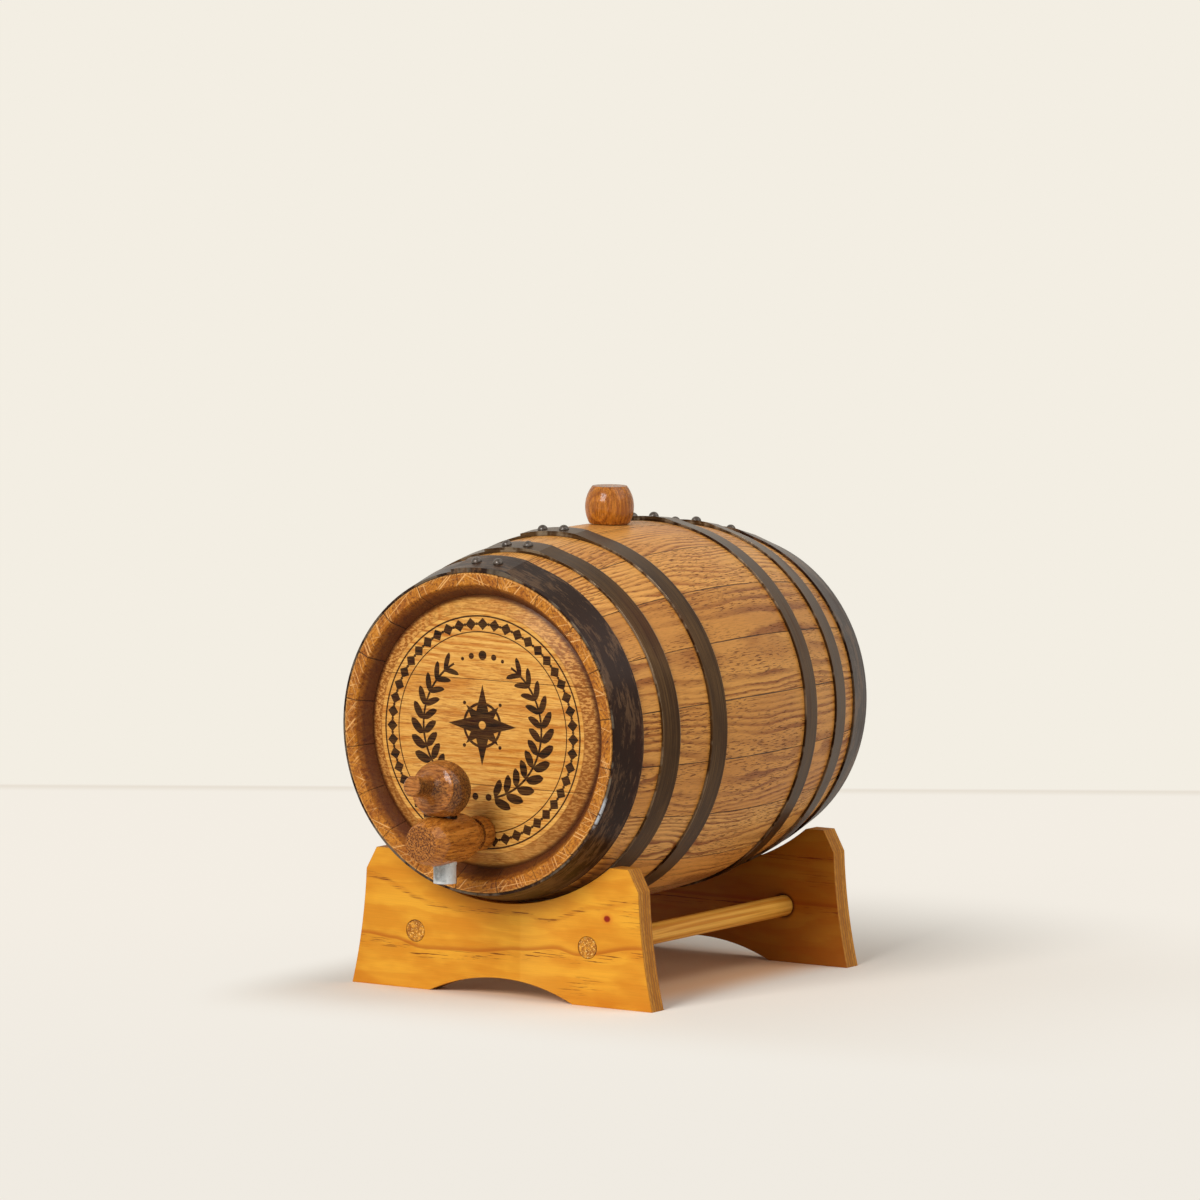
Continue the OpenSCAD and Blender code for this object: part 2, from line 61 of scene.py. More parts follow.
class Num:
    """A number that a material works out. Sums with it add Math nodes."""

    def __init__(self, tree, socket):
        self.tree, self.socket = tree, socket

    def __add__(self, o):
        return op("ADD", self, o)

    __radd__ = __add__

    def __mul__(self, o):
        return op("MULTIPLY", self, o)

    __rmul__ = __mul__

    def __sub__(self, o):
        return op("SUBTRACT", self, o)

    def __rsub__(self, o):
        return op("SUBTRACT", o, self)

    def __truediv__(self, o):
        return op("DIVIDE", self, o)

    def __neg__(self):
        return op("MULTIPLY", self, -1.0)


def put(tree, value, socket):
    """Sets a socket to value, or links value to it."""
    if isinstance(value, Num):
        tree.links.new(value.socket, socket)
    elif isinstance(value, bpy.types.NodeSocket):
        tree.links.new(value, socket)
    else:
        socket.default_value = value


def op(kind, *args):
    tree = next(a.tree for a in args if isinstance(a, Num))
    n = tree.nodes.new("ShaderNodeMath")
    n.operation = kind
    for a, s in zip(args, n.inputs):
        put(tree, a, s)
    return Num(tree, n.outputs[0])


def root(a):
    return op("SQRT", a)


def lowest(a, b):
    return op("MINIMUM", a, b)


def highest(a, b):
    return op("MAXIMUM", a, b)


def size_of(a):
    return op("ABSOLUTE", a)


def fraction(a):
    return op("FRACT", a)


def whole(a):
    return op("FLOOR", a)


def over(a, b):
    return op("GREATER_THAN", a, b)


def length(*parts):
    total = parts[0] * parts[0]
    for p in parts[1:]:
        total = total + p * p
    return root(total)


def ramp(x, low, high, to_low=0.0, to_high=1.0):
    """A smooth step from to_low at low to to_high at high."""
    n = x.tree.nodes.new("ShaderNodeMapRange")
    n.interpolation_type = "SMOOTHSTEP"
    put(x.tree, x, n.inputs["Value"])
    limits = {"From Min": low, "From Max": high, "To Min": to_low, "To Max": to_high}
    for name, value in limits.items():
        put(x.tree, value, n.inputs[name])
    return Num(x.tree, n.outputs["Result"])


def past(a, low, high, low_rate=1.0, high_rate=1.0):
    """How far a lies below low or above high, each times its rate, and 0 between them."""
    return highest(highest((a - high) * high_rate, (a - low) * -low_rate), 0.0)


def turned(x, y, degrees):
    """x and y in axes turned by that angle."""
    c, s = math.cos(math.radians(degrees)), math.sin(math.radians(degrees))
    return x * c + y * s, y * c - x * s


def at(tree, x, y, z):
    n = tree.nodes.new("ShaderNodeCombineXYZ")
    for a, s in zip((x, y, z), n.inputs):
        put(tree, a, s)
    return n.outputs[0]


def noise(x, y, z, detail=2.0, rough=0.5):
    """Noise from 0 to 1, about 0.5. Its blobs are about one unit across."""
    tree = next(a.tree for a in (x, y, z) if isinstance(a, Num))
    n = tree.nodes.new("ShaderNodeTexNoise")
    n.inputs["Scale"].default_value = 1.0
    n.inputs["Detail"].default_value = detail
    n.inputs["Roughness"].default_value = rough
    put(tree, at(tree, x, y, z), n.inputs["Vector"])
    return Num(tree, n.outputs["Fac"])


def chance(x, n=3):
    """n numbers from 0 to 1 that depend on x alone."""
    w = x.tree.nodes.new("ShaderNodeTexWhiteNoise")
    w.noise_dimensions = "1D"
    put(x.tree, x, w.inputs["W"])
    s = x.tree.nodes.new("ShaderNodeSeparateColor")
    x.tree.links.new(w.outputs["Color"], s.inputs[0])
    return [Num(x.tree, s.outputs[i]) for i in range(n)]


def blend(factor, a, b, kind="MIX"):
    """Colour a where factor is 0, and where it is 1 colour b, or a changed by b as kind says."""
    tree = factor.tree if isinstance(factor, Num) else a.tree
    n = tree.nodes.new("ShaderNodeMix")
    n.data_type = "RGBA"
    n.blend_type = kind
    put(tree, factor, n.inputs["Factor"])
    put(tree, a, n.inputs["A"])
    put(tree, b, n.inputs["B"])
    return Num(tree, n.outputs["Result"])


def grey(v):
    """A number as a colour of that brightness."""
    n = v.tree.nodes.new("ShaderNodeCombineColor")
    for s in n.inputs:
        put(v.tree, v, s)
    return Num(v.tree, n.outputs[0])


def new_material(name, **uniform):
    """A material with its Principled shader's uniform values set on the sockets."""
    m = bpy.data.materials.new(name)
    m.use_nodes = True
    tree = m.node_tree
    shader = tree.nodes["Principled BSDF"]
    for key, value in uniform.items():
        shader.inputs[key.replace("_", " ")].default_value = value
    return m, tree, shader


def place(tree):
    """The place of a point on the object, in millimetres. It stays with a piece that moves."""
    n = tree.nodes.new("ShaderNodeTexCoord")
    s = tree.nodes.new("ShaderNodeSeparateXYZ")
    tree.links.new(n.outputs["Object"], s.inputs[0])
    return [Num(tree, s.outputs[i]) * 1000.0 for i in range(3)]


def barrel_place(tree):
    """A point's place, with y measured from the barrel's middle and z from its axis."""
    x, y, z = place(tree)
    return x, y - MID_Y, z - AXIS_Z


def tap_place(tree):
    """A point's place, with y and z measured from where the plug crosses the tap's axis."""
    x, y, z = place(tree)
    return x, y - PLUG_Y, z - TAP_Z


def facing(tree):
    """The way a surface faces, in the object's own axes."""
    n = tree.nodes.new("ShaderNodeTexCoord")
    s = tree.nodes.new("ShaderNodeSeparateXYZ")
    tree.links.new(n.outputs["Normal"], s.inputs[0])
    return [Num(tree, s.outputs[i]) for i in range(3)]


def surface(tree, shader, colour, rough):
    put(tree, colour, shader.inputs["Base Color"])
    put(tree, rough, shader.inputs["Roughness"])


def bump(tree, shader, height, depth, strength, edge):
    """A height of 1 stands for depth millimetres. Edges look rounded by edge millimetres."""
    b = tree.nodes.new("ShaderNodeBevel")
    b.samples = 4
    b.inputs["Radius"].default_value = edge / 1000
    n = tree.nodes.new("ShaderNodeBump")
    tree.links.new(b.outputs["Normal"], n.inputs["Normal"])
    n.inputs["Strength"].default_value = strength
    n.inputs["Distance"].default_value = depth / 1000
    put(tree, height, n.inputs["Height"])
    tree.links.new(n.outputs["Normal"], shader.inputs["Normal"])


# ---- Wood ----


def wood(u, v, w, seed, spacing=1.2, wander=1.0, spread=34.0, deep=30.0):
    """Wood cut from a log, with u along the grain and v and w across it: the share of dark
    early wood, short open pores, fine fibres and a slow drift of tone, each from 0 to 1, and
    three numbers of the board's own. seed picks the log, and so where its heart lies."""
    a, b, c = chance(seed)
    d, e, f = chance(seed + 31.7)
    far = seed * 17.3
    heart_v = (a - 0.5) * spread * 2
    heart_w = w + deep * (b * 0.7 + 0.4)
    slow = noise(u * 0.014 + far, v * 0.035, w * 0.035, 1.0)
    quick = noise(u * 0.06 + far, v * 0.16, w * 0.16, 2.0)
    lean = u * ((c - 0.5) * 0.05)
    wander = (0.3 + 1.2 * f) * wander
    rings = length(v - heart_v, heart_w) + lean
    rings = rings + (slow - 0.5) * wander * 7 + (quick - 0.5) * wander
    rings = rings / (spacing * (0.8 + 0.7 * d))
    ring = fraction(rings)
    early = ramp(ring, 0.0, 0.14) * ramp(ring, 0.2, 0.75, 1.0, 0.0)
    uneven = noise(rings * 0.31 + far, u * 0.02, 0.0, 2.0)
    early = early * ramp(uneven, 0.32, 0.66, 0.15, 1.0)
    dashes = noise(u * 0.2 + far, v * 1.9, w * 1.9, 2.0, 0.6)
    busy = noise(u * 0.018 + far, v * 0.06, w * 0.06 + 9.0, 1.0)
    pores = ramp(dashes, 0.52, 0.64) * highest(ramp(busy, 0.38, 0.58), early * 0.8 + 0.2)
    fibres = noise(u * 0.09 + far, v * 4.2, w * 4.2, 3.0, 0.65)
    drift = noise(u * 0.017 + far, v * 0.07, w * 0.07, 2.0)
    return early, pores, fibres, drift, (d, e, f)


def oak_stave():
    m, tree, shader = new_material(
        "stave oak", Specular_IOR_Level=0.25, Coat_Weight=0.05, Coat_Roughness=0.3)
    x, y, z = barrel_place(tree)
    r = length(x, z)
    outer = root(ARC**2 - y * y) + ARC_R
    sunk = outer - r
    turn = op("ARCTAN2", x, z) * (1 / STAVE_TURN)
    index = whole(turn + 0.5)
    across = turn - index
    index = op("FLOORED_MODULO", index, float(STAVES))
    v = across * r * STAVE_TURN
    early, pores, fibres, drift, (d, e, f) = wood(y, v, sunk, index * 1.618 + 2.0)

    pale = blend(d, srgb(216, 158, 82), srgb(200, 136, 60))
    dark = blend(e, srgb(146, 84, 22), srgb(124, 64, 16))
    colour = blend(early * 0.95, pale, dark)
    colour = blend(ramp(drift, 0.35, 0.72) * 0.35, colour, srgb(168, 102, 36))
    colour = blend(1.0, colour, grey(0.72 + 0.62 * fibres), "MULTIPLY")
    colour = blend(1.0, colour, grey(ramp(fraction(f * 7.0), 0.0, 1.0, 0.82, 1.16)), "MULTIPLY")
    colour = blend(pores * 0.9, colour, srgb(92, 42, 6))

    # The bung hole's wall, soaked by the liquor
    hole = ramp(length(x, y), BUNG_HOLE_R + 0.5, BUNG_HOLE_R - 0.5) * over(z, 0.0)
    soaked = hole * ramp(sunk, 0.4, 3.0)
    colour = blend(soaked * 0.75, colour, srgb(86, 36, 10))

    # The line between two staves, tight in places and open in others
    edge = (0.5 - size_of(across)) * r * STAVE_TURN
    open_ = noise(y * 0.06, index * 3.1, 0.0, 2.0)
    joint = ramp(edge, ramp(open_, 0.3, 0.65, 0.16, 0.5), 0.0)
    colour = blend(joint * ramp(open_, 0.25, 0.55, 0.5, 1.0), colour, srgb(40, 17, 6))

    # The chime: end grain under a darker stain, with the saw's pale scratches and painted shade
    end = over(size_of(y), HALF_LEN - 12.0) * ramp(sunk, 0.25, 0.7)
    cloud = noise(x * 0.12, y * 0.1, z * 0.12, 3.0)
    stain = blend(ramp(cloud, 0.3, 0.7), srgb(154, 86, 10), srgb(188, 118, 26))
    ends = blend(early * 0.5, stain, srgb(120, 64, 22))
    mottle = noise(x * 0.7, y * 0.5, z * 0.7, 6.0, 0.8)
    ends = blend(ramp(mottle, 0.5, 0.62) * 0.85, ends, srgb(82, 34, 4))
    ends = blend(ramp(mottle, 0.46, 0.36) * 0.6, ends, srgb(222, 156, 70))
    scratch = 0.0
    for degrees, way in ((24, 1.0), (71, 5.0), (138, 9.0), (104, 13.0)):
        p, q = turned(x, z, degrees)
        fine = noise(p * 1.2, q * 0.012 + way, way, 1.0)
        patch = noise(p * 0.045, q * 0.05, way * 2.3, 1.0)
        scratch = highest(ramp(fine, 0.64, 0.69) * ramp(patch, 0.41, 0.57), scratch)
    flat = ramp(size_of(y), HALF_LEN - 0.8, HALF_LEN - 0.1)
    ends = blend(scratch * (0.2 + 0.6 * flat), ends, srgb(228, 172, 104))
    knots = noise(x * 0.35, 0.0, z * 0.35, 2.0, 0.5)
    ends = blend(ramp(knots, 0.72, 0.76), ends, srgb(50, 22, 10))
    # Painted shade down the chime's inner slope, darkest as a painted shadow near the head
    inward = HALF_LEN - size_of(y)
    shade = 0.25 * ramp(inward, 0.3, 6.0) + 0.5 * ramp(inward, 0.3, 1.2)
    ends = blend(shade, ends, srgb(92, 42, 12))
    ends = blend(ramp(inward, 1.8, 3.6) * 0.6, ends, srgb(64, 26, 6))
    seam = ramp(edge, ramp(open_, 0.3, 0.65, 0.2, 0.55), 0.05)
    seam = seam * ramp(noise(index * 7.3, 4.0, 0.0, 1.0), 0.4, 0.6)
    ends = blend(seam * 0.85, ends, srgb(44, 18, 4))
    colour = blend(end, colour, ends)

    surface(tree, shader, colour, 0.42 + 0.2 * pores + 0.14 * end + 0.14 * (fibres - 0.5))
    height = 0.6 * fibres - 0.9 * pores - 0.35 * early - 1.6 * joint + 0.5 * scratch * end
    bump(tree, shader, height, 0.12, 0.6, 0.35)
    return m


def motif(x, z):
    """A burned ornament on the front head: a border of small lozenges, a leafy wreath that is
    open at the top, and a star. x and z are measured from the head's middle."""
    soft = 0.14  # half the width of a mark's soft edge

    def lozenge(dx, dz, half_w, half_h):
        out = size_of(dx) / half_w + size_of(dz) / half_h
        return ramp(out, 1.0 + soft / half_h, 1.0 - soft / half_h)

    def disc(dx, dz, radius):
        return ramp(length(dx, dz), radius + soft, radius - soft)

    def thread(a, half):
        return ramp(size_of(a), half + soft, half - soft)

    degree = math.pi / 180
    r = length(x, z)
    turn = op("ARCTAN2", x, z) / degree

    # Border, lozenges and dots by turns between two threads
    mid, step, apart = 45.3, 7.5, 3.3
    cell = (fraction(turn / step + 0.5) - 0.5) * (step * degree * mid)
    other = (fraction(turn / step) - 0.5) * (step * degree * mid)
    mark = highest(lozenge(cell, r - mid, 2.75, 2.6), disc(other, r - mid, 0.62))
    lines = highest(thread(r - mid - apart, 0.36), thread(r - mid + apart, 0.24))
    mark = highest(mark, lines)

    # Wreath, measured in degrees from its foot up either side, with leaves on both sides of
    # its stem that get smaller upward
    wz = z - 2.0
    wr = length(x, wz)
    up = size_of(op("ARCTAN2", x, -wz) / degree)
    bow, pitch, foot, tip = 29.5, 11.6, 12.0, 151.1
    leaf_l, leaf_w, lean = 4.1, 1.85, 44
    on = ramp(up, foot - 0.05, foot + 0.05) * ramp(up, tip + 0.05, tip - 0.05)
    along = (fraction((up - foot) / pitch) - 0.5) * (pitch * degree * bow)
    shrink = ramp(up, 60.0, 150.0, 1.0, 0.62)
    for side in (1.0, -1.0):
        lx, lz = turned(along, (wr - bow) * side - shrink * 3.5, lean)
        leaf = ramp(length(lx / leaf_l, lz / (leaf_w * shrink)), 1.07, 0.95)
        mark = highest(mark, leaf * on)
    mark = highest(mark, thread(wr - bow, 0.5) * on)

    # Dots at the wreath's foot and in its opening: x to either side, z and radius
    dots = ((3.3, -27.0, 1.5), (0.0, 32.2, 2.0), (5.6, 31.6, 1.3), (10.0, 30.2, 0.8))
    for dx, dz, radius in dots:
        mark = highest(mark, disc(size_of(x) - dx, z - dz, radius))

    # Star, with four long and four short rays, a hollow hub, a ring and four dots
    ray, ray_w, short, short_w = 17.0, 4.6, 11.4, 4.2
    ring_r, dot_at, dot_r = 9.0, 12.6, 0.8
    sz = z - 3.0
    tx, tz = turned(x, sz, 45)
    star = highest(lozenge(x, sz, ray, ray_w), lozenge(x, sz, ray_w, ray))
    shorts = highest(lozenge(tx, tz, short, short_w), lozenge(tx, tz, short_w, short))
    star = highest(star, shorts)
    hub = length(x, sz)
    star = star * ramp(hub, 1.5, 1.9)
    star = highest(star, thread(hub - ring_r, 0.6))
    star = highest(star, disc(size_of(tx) - dot_at, tz, dot_r))
    star = highest(star, disc(tx, size_of(tz) - dot_at, dot_r))
    return highest(mark, star)


def oak_head():
    m, tree, shader = new_material(
        "head oak", Specular_IOR_Level=0.12, Coat_Weight=0.06, Coat_Roughness=0.2)
    x, y, z = barrel_place(tree)
    r = length(x, z)
    board = whole((z + BOARD_W / 2) / BOARD_W) + 4.0
    board = board + 9.0 * over(y, 0.0)
    early, pores, fibres, drift, (tone, _, _) = wood(
        x, z, y, board * 2.31 + 0.4, 1.35, 0.9, 20.0, 34.0)
    pale = blend(tone, srgb(222, 170, 88), srgb(214, 156, 72))
    colour = blend(early * 0.75, pale, srgb(176, 100, 26))
    ripple = noise(x * 0.09, z * 1.05, board * 5.0, 3.0, 0.65)
    colour = blend(ramp(ripple, 0.52, 0.64) * 0.6, colour, srgb(170, 92, 20))
    colour = blend(ramp(ripple, 0.44, 0.34) * 0.3, colour, srgb(240, 196, 122))
    threads = noise(x * 0.06, z * 2.4 + 1.5 * ripple, board * 3.0, 3.0, 0.65)
    colour = blend(ramp(threads, 0.53, 0.62) * 0.55, colour, srgb(148, 78, 16))
    colour = blend(ramp(drift, 0.35, 0.8) * 0.3, colour, srgb(202, 134, 46))
    colour = blend(1.0, colour, grey(0.82 + 0.34 * fibres), "MULTIPLY")
    colour = blend(pores * 0.55, colour, srgb(150, 88, 34))
    joint = ramp(size_of(size_of(z) - BOARD_W / 2), 0.26, 0.08)
    colour = blend(joint * 0.5, colour, srgb(120, 66, 26))

    # The bevel round the face, rough where it crosses the grain
    bevel_r = RIM_R - BEVEL_W
    bevel = ramp(r, bevel_r - 0.25, bevel_r + 0.25)
    crossing = ramp(size_of(x) / r, 0.25, 0.85)
    chatter = noise(x * 0.35, y * 0.8, z * 1.3, 3.0, 0.6)
    cut = blend(ramp(chatter, 0.4, 0.56), srgb(208, 148, 78), srgb(130, 70, 20))
    # Darker toward the bottom: painted shade on the lower bevel
    cut = blend(ramp(z, 20.0, -40.0) * 0.45, cut, srgb(122, 64, 18))
    colour = blend(bevel * (0.4 + 0.45 * crossing), colour, cut)
    # Painted shade line where the face turns into the bevel
    bevel_edge_shade = ramp(size_of(r - bevel_r), 0.4, 0.1)
    colour = blend(bevel_edge_shade * 0.4, colour, srgb(128, 72, 22))
    # Painted shadow in the croze, where the head's face meets the staves
    croze_shadow = ramp(r, RIM_R - 2.4, RIM_R - 0.3)
    colour = blend(croze_shadow * 0.9, colour, srgb(66, 26, 6))

    # Burned ornament, on the front head only
    burn = motif(x, z) * over(-y, 90.0) * (1.0 - bevel)
    burn = burn * (0.86 + 0.14 * ramp(fibres, 0.35, 0.6))
    char = blend(ramp(0.6 * early + ripple, 0.35, 0.95), srgb(44, 12, 2), srgb(8, 2, 1))
    colour = blend(burn, colour, char)
    surface(tree, shader, colour, 0.36 + 0.2 * pores + 0.25 * bevel * crossing + 0.4 * burn)
    height = 0.4 * fibres - 0.5 * pores - 0.5 * early - 0.4 * ripple - 0.9 * burn - 1.5 * joint
    height = height + bevel * crossing * chatter * 1.2
    bump(tree, shader, height, 0.12, 0.55, 0.3)
    return m


# ---- Steel ----


def hoop_steel():
    m, tree, shader = new_material(
        "hoop steel", Specular_IOR_Level=0.12, Coat_Weight=0.1, Coat_Roughness=0.22)
    x, y, z = barrel_place(tree)
    band = whole(size_of(y) / 12.0 + over(y, 0.0) * 20.0)  # gives each hoop other noise
    head = ramp(size_of(y), 80.0, 84.0)  # 1 on the two head hoops, which are worn darker
    along = op("ARCTAN2", x, z) * HOOP_R  # round the barrel, from its top
    blotch = noise(along * 0.04, y * 0.11, band * 5.1, 4.0, 0.62)
    brushed = noise(along * 0.035, y * 2.4, band * 3.3, 4.0, 0.7)
    scale = noise(along * 0.16, y * 0.75, band * 2.7, 6.0, 0.8)
    speck = noise(x * 0.8, y * 0.8, z * 0.8, 3.0, 0.6)
    plain = blend(ramp(brushed, 0.3, 0.7), srgb(50, 30, 12), srgb(92, 66, 36))
    plain = blend(ramp(blotch, 0.4, 0.7) * 0.5, plain, srgb(46, 27, 10))
    worn = blend(ramp(scale + 1.1 * (blotch - 0.5), 0.5, 0.62), srgb(32, 12, 3), srgb(92, 66, 44))
    worn = blend(ramp(brushed, 0.35, 0.6) * 0.4, worn, srgb(34, 16, 10))
    colour = blend(head * 0.95, plain, worn)
    rust = ramp(noise(along * 0.02, y * 0.05, band * 7.7, 2.0), 0.58, 0.8)
    colour = blend(rust * 0.4, colour, srgb(62, 22, 8))
    colour = blend(ramp(speck, 0.70, 0.80) * 0.35, colour, srgb(150, 140, 124))

    # Bare, rubbed steel with a painted highlight along the edges, and one bare spot low on the
    # front rim
    rim = 9.0
    for outer, width in HOOPS:
        rim = lowest(rim, size_of(size_of(size_of(y) - (outer - width / 2)) - width / 2))
    # Painted highlight along the strips' edges, over rubbed steel
    edge_wear_and_highlight = ramp(noise(along * 0.05, y * 0.2, band * 1.9, 4.0, 0.75), 0.46, 0.58)
    edge_wear_and_highlight = ramp(rim, 0.26, 0.1) * edge_wear_and_highlight * (0.45 - 0.2 * head)
    colour = blend(edge_wear_and_highlight, colour, srgb(170, 154, 130))
    spot = 141.0
    scuff = ramp(size_of(along - spot), 9.0, 4.0) * ramp(rim, 0.9, 0.4) * over(-y, 98.0)
    scuff = scuff * ramp(noise(along * 0.5, y * 1.2, 2.0, 3.0, 0.6), 0.4, 0.5)
    colour = blend(scuff * 0.9, colour, srgb(176, 180, 186))
    put(tree, 0.65 - 0.4 * head, shader.inputs["Metallic"])
    surface(tree, shader, colour, 0.3 + 0.2 * ramp(brushed, 0.3, 0.8) + 0.14 * rust)
    bump(tree, shader, 0.5 * brushed + 0.7 * blotch + 0.5 * head * scale, 0.1, 0.4, 0.3)
    return m


def rivet_steel():
    m, tree, shader = new_material("rivet steel", Metallic=0.5, Coat_Weight=0.5, Coat_Roughness=0.2)
    x, y, z = place(tree)
    dent = noise(x * 0.7, y * 0.7, z * 0.7, 3.0, 0.6)
    colour = blend(ramp(dent, 0.35, 0.7), srgb(44, 34, 26), srgb(86, 74, 64))
    surface(tree, shader, colour, 0.32 + 0.3 * dent)
    bump(tree, shader, dent, 0.4, 0.7, 0.2)
    return m


# ---- Bung, tap and key ----


def turned_wood(name, pale, dark, pore, grain, seed, flecks, ends):
    """Varnished turned wood, with its grain along the axis named. flecks is how strong its
    short pores are, and ends the brightness that its stained end grain keeps."""
    m, tree, shader = new_material(
        name, Specular_IOR_Level=0.12, Coat_Weight=0.4, Coat_Roughness=0.14)
    x, y, z = tap_place(tree)
    u, v, w = {"x": (x, y, z), "y": (y, x, z), "z": (z, x, y)}[grain]
    log = v * 0.0 + seed  # as a number of the tree's, which wood() asks for
    early, _, fibres, _, _ = wood(u, v, w, log, 1.5, 0.9, 10.0, 22.0)
    streaks = noise(u * 0.045 + seed, v * 0.75, w * 0.75, 3.0, 0.6)
    colour = blend(early * 0.65, pale, dark)
    colour = blend(ramp(streaks, 0.42, 0.66) * 0.6, colour, dark)
    colour = blend(1.0, colour, grey(0.68 + 0.6 * fibres), "MULTIPLY")
    fleck = noise(u * 0.22 + seed, v * 1.5, w * 1.5, 4.0, 0.75)
    colour = blend(ramp(fleck, 0.52, 0.64) * flecks, colour, pore)
    colour = blend(ramp(fleck, 0.43, 0.32) * 0.4 * flecks, colour, srgb(232, 176, 118))
    end = ramp(size_of(facing(tree)["xyz".index(grain)]), 0.45, 0.95)
    colour = blend(end * ramp(fleck, 0.46, 0.56) * 0.7, colour, pore)
    colour = blend(1.0, colour, grey(1.0 - (1.0 - ends) * end), "MULTIPLY")
    surface(tree, shader, colour, 0.3 + 0.3 * ramp(fleck, 0.4, 0.7))
    height = 0.6 * fibres - ramp(fleck, 0.45, 0.7) - 0.4 * streaks
    bump(tree, shader, height, 0.25, 0.8, 0.2)
    return m


def frosted_plastic():
    m, tree, shader = new_material(
        "frosted plastic", Transmission_Weight=0.3, IOR=1.49, Coat_Weight=0.3)
    x, y, z = tap_place(tree)
    haze = noise(x * 0.5, y * 0.5, z * 0.4, 4.0, 0.6)
    colour = blend(ramp(haze, 0.35, 0.65), srgb(150, 157, 160), srgb(206, 212, 214))

    # Painted highlight at the lower rim and down one side, specks, and painted shade under the key
    foot = ramp(z, -16.6, -17.4)
    corner = ramp(x, 2.4, 3.6)
    colour = blend(highest(foot, corner) * (0.5 + 0.5 * haze), colour, srgb(240, 244, 245))
    speck = noise(x * 1.6, y * 1.6, z * 1.6, 2.0)
    colour = blend(ramp(speck, 0.66, 0.72) * 0.5, colour, srgb(96, 92, 84))
    # Painted shade on the stem in the gap under the key
    colour = blend(ramp(z, 7.0, 8.2), colour, srgb(52, 34, 20))
    scuff = noise(x * 2.0, y * 2.0, z * 1.2, 3.0)
    surface(tree, shader, colour, 0.22 + 0.3 * scuff)
    bump(tree, shader, scuff, 0.08, 0.5, 0.8)
    return m


# ---- Cradle ----


def path(x, points):
    """Height of a wandering line through points, at x."""
    total = points[0][1]
    for (x0, z0), (x1, z1) in zip(points, points[1:]):
        total = total + ramp(x, x0, x1, 0.0, z1 - z0)
    return total


